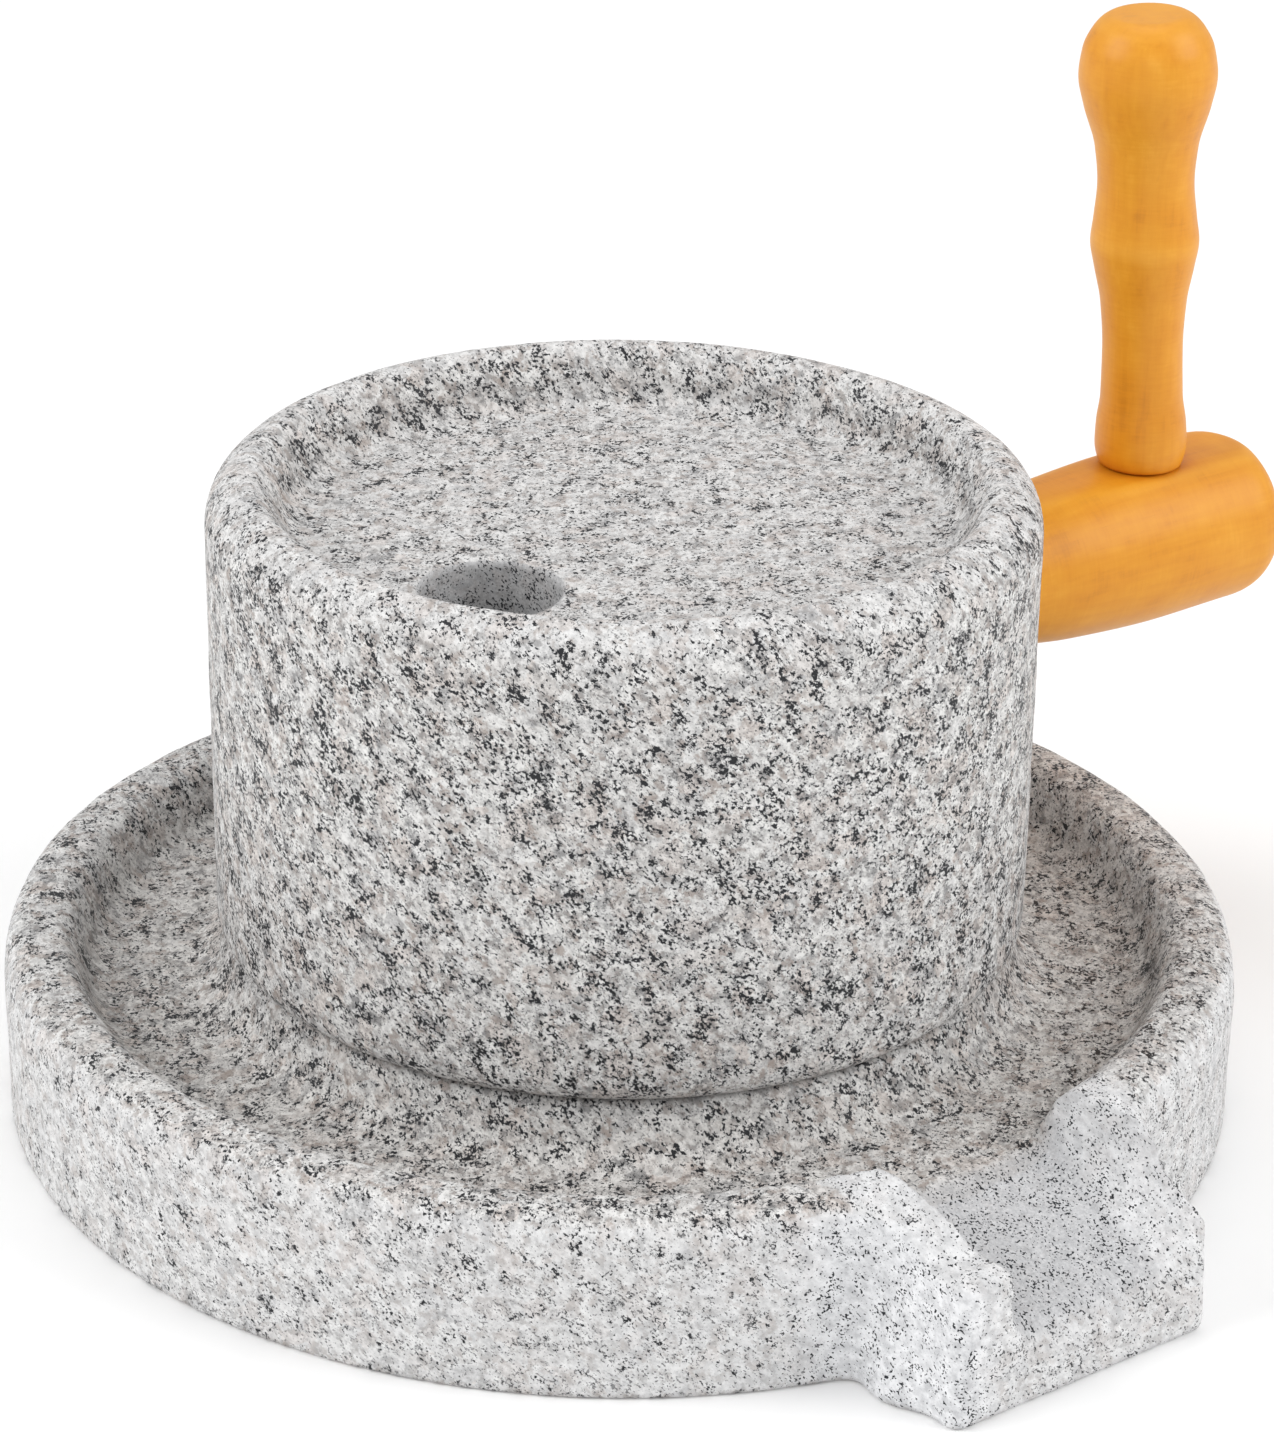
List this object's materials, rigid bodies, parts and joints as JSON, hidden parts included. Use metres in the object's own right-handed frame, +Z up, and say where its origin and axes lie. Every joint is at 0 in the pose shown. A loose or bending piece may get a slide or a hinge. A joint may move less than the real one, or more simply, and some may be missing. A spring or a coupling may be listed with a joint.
{
  "type": "rotary quern",
  "caption": "Granite hand mill: a drum-shaped runner stone with a feed hole and a wooden cranked handle turns on a round tray stone with a trough and a pouring spout.",
  "frame": {"origin": "on the runner's turning axis, at the flat underside of the tray stone", "axes": "+Z up along the turning axis; the spout pours towards -Y; the handle arm points to +X at rest"},
  "size_m": [0.3577, 0.3297, 0.2475],
  "materials": {
    "tray_granite": "bush-hammered speckled granite, light grey with black mica and warm grey patches",
    "runner_granite": "smoothed speckled granite, light grey with black mica and pinkish-brown patches",
    "arm_wood": "satin yellow-orange varnished hardwood",
    "grip_wood": "satin yellow-orange varnished turned hardwood"
  },
  "bodies": {
    "base": {"lower_stone": "tray_granite"},
    "runner": {"upper_stone": "runner_granite", "handle_arm": "arm_wood", "handle_grip": "grip_wood"}
  },
  "joints": [
    {"name": "runner_spin", "type": "hinge", "parent": "base", "child": "runner", "pos_m": [0, 0, 0.0435], "axis": [0, 0, 1], "continuous": true}
  ]
}
